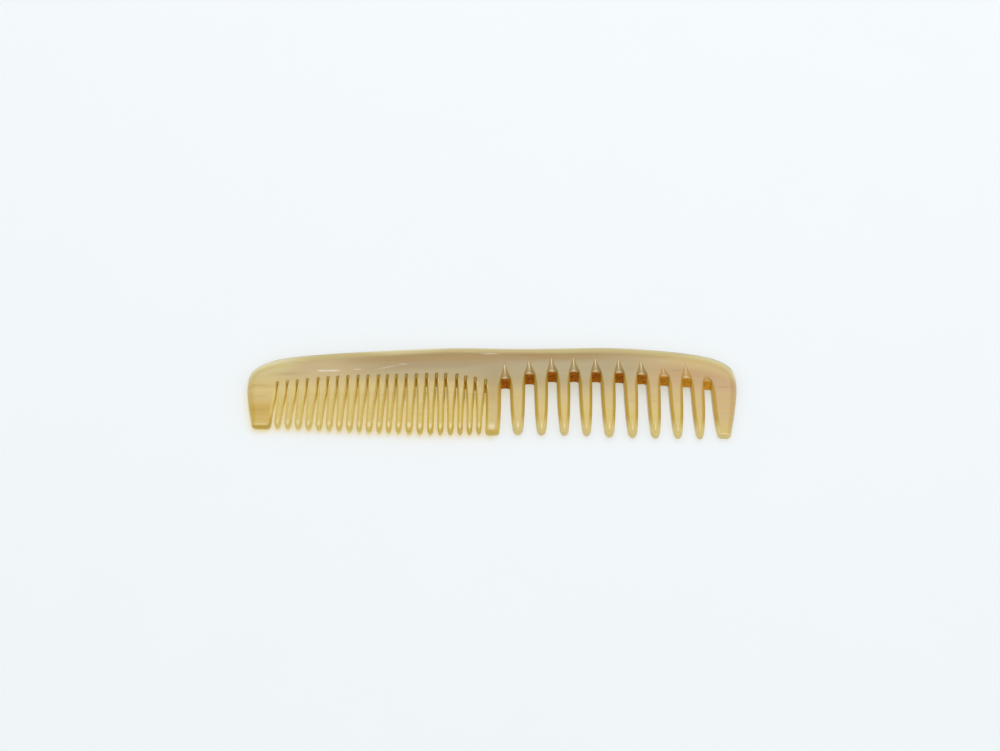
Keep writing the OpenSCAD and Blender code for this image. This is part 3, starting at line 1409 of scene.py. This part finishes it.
@dataclass(frozen=True)
class HornMap:
    """What the horn's finish reads at a point, in millimetres.

    Attributes:
        graph: Nodes of the material.
        place: The point, of which x, y and z are the parts.
        drift: How far the borders of the zones wander along the comb.
        zone_x: x with that drift.
        core: 1 in the darker middle of the back.
        sawn: 1 on the sawn wall of a root.
        grain: Coarse noise, drawn out along the comb.
        fibre: Fine noise, drawn out along the comb.

    The others are the masks of PAINTED.
    """

    graph: Graph
    place: bpy.types.NodeSocket
    x: Value
    y: Value
    z: Value
    drift: Value
    zone_x: Value
    core: Value
    sawn: Value
    grain: Value
    fibre: Value
    back: Value
    edge: Value
    outer: Value
    groove: Value
    valley: Value
    tip: Value
    glint: Value

    @classmethod
    def read(cls, graph: Graph) -> "HornMap":
        """Adds the nodes that read the map.

        Args:
            graph: Nodes of the material.

        Returns:
            The map.
        """
        metres = graph.node("ShaderNodeTexCoord", {}, {}).outputs["Object"]
        place = graph.node(
            "ShaderNodeVectorMath", {"operation": "SCALE"}, {0: metres, "Scale": 1 / MM}
        ).outputs[0]
        parts = graph.node("ShaderNodeSeparateXYZ", {}, {0: place}).outputs
        x, y, z = (Value(graph, part) for part in parts)
        painted = {name: graph.attribute(name) for name in PAINTED}
        sawn = painted.pop("gullet").step(0.72, 0.9)
        drift = (graph.noise(place, CLOUD_RATE, detail=2.0) - 0.5) * ZONE_DRIFT
        zone_x = x + drift
        core = zone_x.step(*CORE_LEFT) * zone_x.step(*CORE_RIGHT)
        grain = graph.noise(place, GRAIN_RATE, detail=4.0, distortion=0.4)
        fibre = graph.noise(place, FIBRE_RATE)
        return cls(graph, place, x, y, z, drift, zone_x, core, sawn, grain, fibre, **painted)


@dataclass(frozen=True)
class HornFinish:
    """Polished blond horn: tan and mauve zones, honey teeth, amber bevels and sawn brown roots.

    The colour is laid in coats, some of which are painted highlights, painted glints and painted
    shade. In a coat, step and band name the places along a part, in millimetres or in shares of a
    mask, between which it comes in, and the factor behind them is the share of it that shows.
    """

    name: str = "polished_blond_horn"
    # zones of the plate and its rim
    blond: Colour = tone(210, 193, 136)
    tan: Colour = tone(199, 176, 131)
    rose: Colour = tone(209, 181, 125)
    mauve: Colour = tone(174, 152, 111)
    haze: Colour = tone(185, 168, 130)
    peach: Colour = tone(196, 158, 112)
    olive: Colour = tone(207, 186, 131)
    # painted highlights on the round of the outline: along the back, and paler at the left end
    rim: Colour = tone(232, 222, 176)
    left_end_highlight: Colour = tone(238, 230, 192)
    # painted shade: a dark line on the round of the outline at both ends
    shade: Colour = tone(150, 140, 112)
    brown: Colour = tone(175, 144, 92)
    # painted highlight of the pale streaks in the polish
    streak_highlight: Colour = tone(250, 238, 226)
    # teeth and guards
    facet: Colour = tone(218, 193, 130)
    honey: Colour = tone(219, 195, 114)
    blush: Colour = tone(206, 170, 128)
    straw: Colour = tone(230, 214, 166)
    gold: Colour = tone(206, 169, 82)
    # painted highlights: behind the tips, on the glints by the cuts and down the grooves' middles
    painted_highlight: Colour = tone(248, 232, 186)
    # bevels along the teeth
    amber_high: Colour = tone(191, 158, 80)
    amber_low: Colour = tone(221, 193, 106)
    amber_left: Colour = tone(232, 209, 130)
    # painted light: lighter amber on the walls of the narrow cuts, standing in for light through
    # the horn
    lit_amber_wall: Colour = tone(248, 230, 150)
    amber_root: Colour = tone(184, 148, 68)
    amber_right: Colour = tone(206, 164, 84)
    amber_wide: Colour = tone(204, 168, 82)
    amber_tip: Colour = tone(232, 212, 148)
    # grooves and sawn walls at the roots
    groove_side: Colour = tone(181, 155, 105)
    groove_right: Colour = tone(214, 172, 118)
    # dark outline of the grooves, and painted shade on the right half of each wide groove
    groove_line_and_shade: Colour = tone(146, 120, 74)
    # painted highlight along the brink above each sawn wall
    brink_highlight: Colour = tone(240, 218, 182)
    root_fine: Colour = tone(178, 132, 40)
    root_left: Colour = tone(196, 170, 68)
    root_top: Colour = tone(220, 196, 112)
    foot: Colour = tone(196, 160, 84)
    root_wide: Colour = tone(190, 112, 29)
    root_right: Colour = tone(240, 172, 52)
    root_dark: Colour = tone(134, 66, 16)
    # tint of the light that passes through the back and the teeth of either half
    body_glow: Colour = (0.78, 0.72, 0.58)
    fine_glow: Colour = (0.93, 0.79, 0.41)
    wide_glow: Colour = (0.92, 0.88, 0.81)
    # polish: sheen is what its reflection would add to the colour, and is taken off first
    sheen: float = 0.07
    roughness: float = 0.24
    roughness_spread: float = 0.12
    ior: float = 1.54
    coat: float = 0.2
    coat_roughness: float = 0.08
    # light that scatters below the surface, and how far its red, green and blue go
    depth_share: float = 0.25
    depth_mm: Triple = (1.6, 1.0, 0.45)
    # fibres that show through the polish, and the dull sawn walls
    bump: float = 0.12
    bump_mm: float = 0.2
    sawn_roughness: float = 0.7
    sawn_spread: float = 0.2
    sawn_gloss: float = 0.05

    def plate_coats(self, horn: HornMap) -> list[Coat]:
        """Zones that run along the faces, over the blond of the left end.

        Args:
            horn: The horn's map.

        Returns:
            The coats, from the lowest up.
        """
        x, y, back = horn.zone_x, horn.y, horn.back
        below = back + horn.x.step(-10.0, 4.0) * 2.4
        hazy = horn.core * below.step(6.6, 9.0) * (y + horn.drift * 0.3).step(0.5, 4.5)
        warm = x.step(38.0, 54.0) * back.step(4.0, 7.5) * y.step(-1.0, 3.0)
        return [
            ((x + back * 1.2).step(-56.0, -46.0), self.tan),
            (x.step(34.0, 58.0), self.rose),
            (horn.core * (y + horn.drift * 0.5).step(-4.0, 3.0), self.mauve),
            (hazy * (0.9 - horn.x.band(1.0, 12.0) * 0.5), self.haze),
            (warm * 0.85, self.peach),
        ]

    def rim_coats(self, horn: HornMap) -> list[Coat]:
        """The painted highlight on the rim, a painted shade line on its round at both ends, and the
        brown streak below it.

        Args:
            horn: The horn's map.

        Returns:
            The coats, from the lowest up.
        """
        x, zone_x, back, outer = horn.x, horn.zone_x, horn.back, horn.outer
        wave = (horn.grain - 0.5) * 2.4
        rim = (back + wave * 0.4).step(3.2, 2.0)
        dim = x.step(-22.0, -10.0) * x.step(64.0, 50.0)
        narrow = x.band(-46.0, 19.0) * 0.4
        ends = x.step(-36.0, -50.0) + x.step(40.0, 52.0)
        # painted shade on the round of the outline at both ends, as a line and a band behind it
        behind = outer.step(0.56, 0.66) * outer.step(1.05, 0.66) * back.step(2.4, 1.2)
        line = (outer.step(0.84, 1.0) * back.step(1.2, 2.6) + behind) * ends
        streak = (back + wave).band(4.4, 2.0) * zone_x.step(-47.0, -28.0) * zone_x.step(44.0, 18.0)
        return [
            (rim * horn.core * 0.85, self.olive),
            (rim * (1 - horn.core) * 0.8, self.blond),
            # painted highlight on the round of the outline, dimmer in the middle, and paler at the
            # left end
            ((outer - narrow).step(0.05, 0.7) * (0.85 - dim * 0.5), self.rim),
            (outer.step(0.0, 0.45) * x.step(-50.0, -64.0) * 0.6, self.left_end_highlight),
            (line * 0.55, self.shade),
            (streak * (0.9 - x.band(6.0, 9.0) * 0.45), self.brown),
        ]

    def teeth_coats(self, horn: HornMap) -> list[Coat]:
        """Lighter teeth, honey towards the tips and a blush towards the right guard.

        Args:
            horn: The horn's map.

        Returns:
            The coats, from the lowest up.
        """
        x, y = horn.x, horn.y
        teeth = y.step(7.0, -8.0) + y.step(5.0, -2.0) * x.step(-1.0, -8.0) * 0.5
        beside_middle = 1 - x.band(MIDDLE_X, 4.0) * 0.6
        before_guard = 1 - x.step(56.0, 63.0) * 0.75
        low = (y + horn.drift * 0.4).step(-2.0, -10.0)
        spared = horn.zone_x.band(8.0, 20.0) * 0.75
        guard = x.step(*RIGHT_GUARD)
        pink_guard = guard * y.step(-12.0, -6.0) * 0.45
        pink_teeth = x.step(32.0, 52.0) * y.step(-7.0, 0.0) * 0.25
        return [
            (teeth * beside_middle * before_guard * 0.95, self.facet),
            (low * (1 - spared) * (0.75 - guard * 0.35), self.honey),
            ((pink_guard + pink_teeth) * y.step(6.0, 2.0), self.blush),
        ]

    def grain_coats(self, horn: HornMap) -> list[Coat]:
        """Grain, bands on the teeth, golden left guard, growth lines and painted polish highlights.

        Args:
            horn: The horn's map.

        Returns:
            The coats, from the lowest up.
        """
        x, y = horn.x, horn.y
        bands = horn.graph.noise(horn.place, BAND_RATE, distortion=0.6)
        on_teeth = y.step(3.0, -2.0)
        golden = x.step(*LEFT_GUARD) * y.step(2.0, -1.0) * (1 - horn.outer.step(0.0, 0.5) * 0.7)
        lower = y.band(-8.8, 4.6) * 0.65 + y.band(-1.0, 1.6) * 0.3
        middle = x.band(MIDDLE_X, 3.4) * y.step(3.0, -1.0) * y.step(-6.5, -3.0)
        return [
            ((horn.grain - 0.52) * 0.8, self.brown),
            ((bands - 0.5) * on_teeth * 1.2, self.amber_low),
            ((0.46 - bands) * on_teeth * 0.9, self.straw),
            (golden * ((bands - 0.38) * 1.6 + lower * 1.3), self.gold),
            ((horn.fibre - 0.52) * 0.6, self.tan),
            *((line.mask(horn), self.brown) for line in GROWTH_LINES),
            # painted highlight streaks in the polish
            *((mark.mask(horn), self.streak_highlight) for mark in POLISH_HIGHLIGHTS),
            (middle * 0.3, self.amber_root),
        ]

    def bevel_coats(self, horn: HornMap) -> list[Coat]:
        """Amber bevels along the teeth, painted highlights behind tips, painted glints by the cuts.

        Args:
            horn: The horn's map.

        Returns:
            The coats, from the lowest up.
        """
        lay, x, y, edge = horn.graph.lay, horn.x, horn.y, horn.edge
        wide_half = x.step(*WIDE_HALF)
        wide = lay(
            self.amber_root,
            (x.step(22.0, 52.0), self.amber_right),
            (y.step(2.0, -7.0), self.amber_wide),
            (y.step(-7.5, -12.5), lay(self.amber_low, (wide_half, self.amber_tip))),
        )
        amber = lay(
            self.amber_high,
            (y.step(2.0, -9.0), self.amber_low),
            (x.step(-12.0, -50.0) * 0.9, self.amber_left),
            # painted light: lighter amber on the walls of the fine cuts, standing in for light
            # through the horn
            (x.step(-44.0, -56.0) * y.step(-7.0, -2.5) * 0.6, self.lit_amber_wall),
            (x.step(-2.1, -1.9), wide),
            (edge.step(0.8, 0.97) * x.step(-8.0, -30.0), self.lit_amber_wall),
        )
        # Painted highlight on the face behind the end of each tooth
        tip_highlight = horn.tip.band(0.0, 1.0) * edge.step(0.4, 0.0)
        guard_end = x.step(-60.5, -62.0) * y.step(-8.0, -11.0) * edge.step(0.1, 0.4)
        return [
            (edge.step(0.02, 0.34) * y.step(6.5, 4.5) * 0.95, amber),
            (tip_highlight * (0.6 + wide_half * 0.25), self.painted_highlight),
            (guard_end * 0.8, self.amber_wide),
            # painted glint on the bevel beside each fine cut
            (horn.glint.step(0.55, 1.0) * 0.8, self.painted_highlight),
        ]

    def root_coats(self, horn: HornMap) -> list[Coat]:
        """The pointed grooves behind the roots, with painted highlights and painted shade, and the
        sawn walls below them.

        Args:
            horn: The horn's map.

        Returns:
            The coats, from the lowest up.
        """
        groove, right = horn.groove, horn.x.step(*LAST_GAPS)
        side = horn.graph.lay(self.groove_side, (right, self.groove_right))
        outline = groove.band(0.16, 0.16) * (1 - horn.valley)
        # painted shade on the right half of each wide groove
        shaded = horn.glint.step(-0.1, -0.9) * groove.step(0.2, 0.6)
        # painted highlight down the middle of each groove
        valley = horn.valley.step(0.76, 0.93) * groove.step(0.0, 0.04) * groove.step(0.95, 0.3)
        return [
            (groove.step(0.02, 0.3) * (0.85 - right * 0.45), side),
            # painted highlight along the brink above each wall
            (groove.step(0.8, 0.9) * 0.7, self.brink_highlight),
            (outline * (1 - right) * 0.35, self.groove_line_and_shade),
            (shaded * (1 - right) * 0.5, self.groove_line_and_shade),
            (valley * (1 - right * 0.6), self.painted_highlight),
            (horn.sawn, self.wall(horn, right)),
        ]

    def wall(self, horn: HornMap, right: Value) -> bpy.types.NodeSocket:
        """Colour of the sawn walls: honey in the fine cuts, mottled brown in the wide gaps.

        Args:
            horn: The horn's map.
            right: 1 at the last wide gaps, where the brown is lighter.

        Returns:
            The colour.
        """
        lay, x, z = horn.graph.lay, horn.x, horn.z
        mottle = horn.graph.noise(horn.place, MOTTLE_RATE, detail=2.0)
        depth = (z.band(2.9, 1.5) * 0.3 + (mottle - 0.45) * 3.2) * (1 - right * 0.4)
        wide = lay(self.root_wide, (x.step(34.0, 62.0), self.root_right), (depth, self.root_dark))
        return lay(
            self.root_fine,
            (x.step(-14.0, -44.0), self.root_left),
            (z.step(2.4, 4.0), self.root_top),
            (z.step(2.3, 0.9) * 0.85, self.foot),
            (x.step(-1.0, 1.0), wide),
        )

    def polished(self, horn: HornMap, colour: bpy.types.NodeSocket) -> bpy.types.Node:
        """Shader of the polished faces.

        Args:
            horn: The horn's map.
            colour: Colour of the horn.

        Returns:
            The shader.
        """
        graph, sheen = horn.graph, (self.sheen,) * 3
        under_sheen = graph.node(
            "ShaderNodeVectorMath", {"operation": "SUBTRACT"}, {0: colour, 1: sheen}
        )
        relief = {"Strength": self.bump, "Distance": self.bump_mm * MM, "Height": horn.fibre}
        return graph.node(
            "ShaderNodeBsdfPrincipled",
            {"subsurface_method": "RANDOM_WALK"},
            {
                "Base Color": under_sheen.outputs[0],
                "Roughness": horn.grain * self.roughness_spread + self.roughness,
                "Normal": graph.node("ShaderNodeBump", {}, relief).outputs[0],
                "Subsurface Weight": self.depth_share,
                "Subsurface Radius": self.depth_mm,
                "Subsurface Scale": MM,
                "IOR": self.ior,
                "Coat Weight": self.coat,
                "Coat Roughness": self.coat_roughness,
            },
        )

    def dull(self, horn: HornMap, colour: bpy.types.NodeSocket) -> bpy.types.Node:
        """Shader of the sawn walls.

        Args:
            horn: The horn's map.
            colour: Colour of the horn.

        Returns:
            The shader.
        """
        inputs = {
            "Base Color": colour,
            "Roughness": horn.fibre * self.sawn_spread + self.sawn_roughness,
            "Specular IOR Level": self.sawn_gloss,
        }
        return horn.graph.node("ShaderNodeBsdfPrincipled", {}, inputs)

    def light_through(self, horn: HornMap, surface: bpy.types.Node) -> bpy.types.Node:
        """Lets the light that reaches the table through the horn pick up its colour.

        Args:
            horn: The horn's map; the wide teeth let more light past than the back does.
            surface: What the camera sees.

        Returns:
            The whole shader.
        """
        graph = horn.graph
        body, fine, wide = (
            graph.node("ShaderNodeBsdfTransparent", {}, {"Color": colour})
            for colour in (self.body_glow, self.fine_glow, self.wide_glow)
        )
        halves = {0: horn.x.step(-1.5, 1.5), 1: fine.outputs[0], 2: wide.outputs[0]}
        teeth = graph.node("ShaderNodeMixShader", {}, halves)
        whole = {0: horn.y.step(-3.0, 4.5), 1: teeth.outputs[0], 2: body.outputs[0]}
        glow = graph.node("ShaderNodeMixShader", {}, whole)
        rays = graph.node("ShaderNodeLightPath", {}, {})
        lit = surface
        for ray in ("Is Diffuse Ray", "Is Shadow Ray"):
            inputs = {0: rays.outputs[ray], 1: lit.outputs[0], 2: glow.outputs[0]}
            lit = graph.node("ShaderNodeMixShader", {}, inputs)
        return lit

    def build(self) -> bpy.types.Material:
        """Makes the material.

        Returns:
            The horn, for one comb whose object coordinates are metres in its own frame.
        """
        graph = Graph(bpy.data.materials.new(self.name))
        horn = HornMap.read(graph)
        colour = graph.lay(
            self.blond,
            *self.plate_coats(horn),
            *self.rim_coats(horn),
            *self.teeth_coats(horn),
            *self.grain_coats(horn),
            *self.bevel_coats(horn),
            *self.root_coats(horn),
        )
        polished, dull = self.polished(horn, colour), self.dull(horn, colour)
        both = {0: horn.sawn, 1: polished.outputs[0], 2: dull.outputs[0]}
        return graph.finish(self.light_through(horn, graph.node("ShaderNodeMixShader", {}, both)))


@dataclass(frozen=True)
class GrowthAndHighlightLine:
    """A thin line along the horn: a pause in its growth, or a painted highlight streak in its
    polish.

    Attributes:
        x_from: X of its left end.
        x_to: X of its right end.
        y: Y of its middle.
        slope: Rise towards the right.
        width: Distance to either side at which it has faded.
        strength: Share of its colour at its middle.
        wobble: How far the grain bends it.
        fade: Length over which each end fades.
    """

    x_from: float
    x_to: float
    y: float
    slope: float
    width: float
    strength: float
    wobble: float = 0.6
    fade: float = 1.0

    def mask(self, horn: HornMap) -> Value:
        """Share of its colour that the line adds at a point.

        Args:
            horn: The horn's map.

        Returns:
            The share, 0 off the line.
        """
        middle = (self.x_from + self.x_to) / 2
        reach = (self.x_to - self.x_from) / 2 + self.fade
        bend = (horn.grain - 0.5) * self.wobble
        offset = horn.y - self.y - (horn.x - middle) * self.slope + bend
        return offset.band(0.0, self.width) * horn.x.band(middle, reach) * self.strength


# Pauses in the horn's growth
GROWTH_LINES = (
    GrowthAndHighlightLine(-69.2, -63.5, -0.5, -0.05, 0.55, 0.35),
    GrowthAndHighlightLine(-65.0, -52.0, 3.0, 0.03, 0.9, 0.4),
    GrowthAndHighlightLine(-69.0, -63.5, -4.0, 0.05, 0.35, 0.3),
    GrowthAndHighlightLine(-68.5, -63.5, -8.0, 0.03, 0.5, 0.3),
    GrowthAndHighlightLine(63.0, 69.0, 1.35, 0.03, 0.4, 0.55),
    GrowthAndHighlightLine(50.5, 55.7, 6.35, 0.19, 0.22, 0.5),
    GrowthAndHighlightLine(30.0, 60.0, -3.6, 0.02, 0.4, 0.25),
    GrowthAndHighlightLine(14.8, 15.4, 9.5, 0.0, 0.3, 0.9),
)

# Painted highlights: pale streaks where the polish catches the light
POLISH_HIGHLIGHTS = (
    GrowthAndHighlightLine(-50.6, -43.4, 4.1, 0.02, 0.6, 0.45),
    GrowthAndHighlightLine(-49.4, -48.6, 4.0, 0.0, 0.35, 0.5),
    GrowthAndHighlightLine(-45.8, -44.4, 4.15, 0.0, 0.35, 0.5),
    GrowthAndHighlightLine(-39.3, -37.6, 4.6, 0.0, 0.3, 0.35),
    GrowthAndHighlightLine(-34.0, -26.0, 5.4, 0.22, 0.4, 0.22),
    GrowthAndHighlightLine(-26.5, -24.6, 6.5, 0.0, 0.2, 0.6),
    GrowthAndHighlightLine(-3.6, 2.1, 10.35, 0.02, 0.25, 0.7),
)


@dataclass(frozen=True)
class TableFinish:
    """The plain pale surface under the comb."""

    name: str = "pale_table"
    colour: Colour = (0.895, 0.92, 0.93)
    speck: float = 0.012
    speck_rate: Triple = (40.0, 40.0, 40.0)
    roughness: float = 0.9
    gloss: float = 0.1

    def build(self) -> bpy.types.Material:
        """Makes the material.

        Returns:
            The surface.
        """
        graph = Graph(bpy.data.materials.new(self.name))
        place = graph.node("ShaderNodeTexCoord", {}, {}).outputs["Object"]
        specks = graph.noise(place, self.speck_rate, detail=2.0)
        darker = tuple(part * (1 - self.speck) for part in self.colour)
        shader = graph.node(
            "ShaderNodeBsdfPrincipled",
            {},
            {
                "Base Color": graph.lay(self.colour, (specks, darker)),
                "Roughness": self.roughness,
                "Specular IOR Level": self.gloss,
            },
        )
        return graph.finish(shader)


@dataclass(frozen=True)
class Softbox:
    """A square studio light that points at the comb."""

    name: str
    place: Triple
    size: float
    power: float
    colour: Colour = (1.0, 1.0, 1.0)

    def build(self) -> None:
        """Adds the light."""
        data = bpy.data.lights.new(self.name, "AREA")
        data.shape = "SQUARE"
        data.size = self.size
        data.energy = self.power
        data.color = self.colour
        aim(add_object(self.name, data), self.place)
        LOG.info("%s: %.1f W", self.name, self.power)


@dataclass
class Studio:
    """Table, light and camera. The light from all round runs from world_low to world_high."""

    table_size: float = 6.0
    world_colour: Colour = (0.96, 0.985, 1.0)
    world_low: float = 0.4
    world_high: float = 1.0
    camera_place: Triple = (0.007953, -0.278127, 0.49277)
    camera_aim: Triple = (0.0021936, 0.0063123, 0.0)
    lens_mm: float = 70.95
    sensor_mm: float = 36.0
    near_clip: float = 0.01
    softboxes: tuple[Softbox, ...] = (
        Softbox("overhead", (0.12, 0.42, 1.0), 1.0, 3.9),
    )

    def build_table(self) -> None:
        """Lays the pale surface at the height that the comb rests on."""
        mesh = bmesh.new()
        bmesh.ops.create_grid(mesh, x_segments=2, y_segments=2, size=self.table_size / 2)
        table = add_mesh("table", mesh)
        table.data.materials.append(TableFinish().build())
        LOG.info("table: %.1f m across", self.table_size)

    def build_light(self) -> None:
        """Sets the soft light from all round and the softboxes."""
        graph = Graph(bpy.data.worlds.new("studio"))
        direction = graph.node("ShaderNodeTexCoord", {}, {}).outputs["Generated"]
        height = graph.node("ShaderNodeSeparateXYZ", {}, {0: direction}).outputs["Z"]
        inputs = {"Value": height, "To Min": self.world_low, "To Max": self.world_high}
        strength = graph.value("ShaderNodeMapRange", {}, inputs)
        sky = graph.node(
            "ShaderNodeBackground", {}, {"Color": self.world_colour, "Strength": strength}
        )
        graph.node("ShaderNodeOutputWorld", {}, {"Surface": sky.outputs[0]})
        bpy.context.scene.world = graph.owner
        bpy.context.scene.view_settings.view_transform = "Standard"
        for softbox in self.softboxes:
            softbox.build()

    def build_camera(self) -> None:
        """Sets the camera where the photograph was taken from."""
        data = bpy.data.cameras.new("camera")
        data.lens = self.lens_mm
        data.sensor_width = self.sensor_mm
        data.sensor_fit = "HORIZONTAL"
        data.clip_start = self.near_clip
        camera = add_object("camera", data)
        aim(camera, self.camera_place, self.camera_aim)
        bpy.context.scene.camera = camera

    def build(self) -> None:
        """Builds the whole studio."""
        self.build_table()
        self.build_light()
        self.build_camera()


def main() -> None:
    """Builds the comb and its studio."""
    logging.basicConfig(level=logging.INFO, format="%(message)s")
    comb = Comb()
    piece = comb.build()
    comb.dress(piece, HornFinish().build())
    Studio().build()


if __name__ == "__main__":
    main()
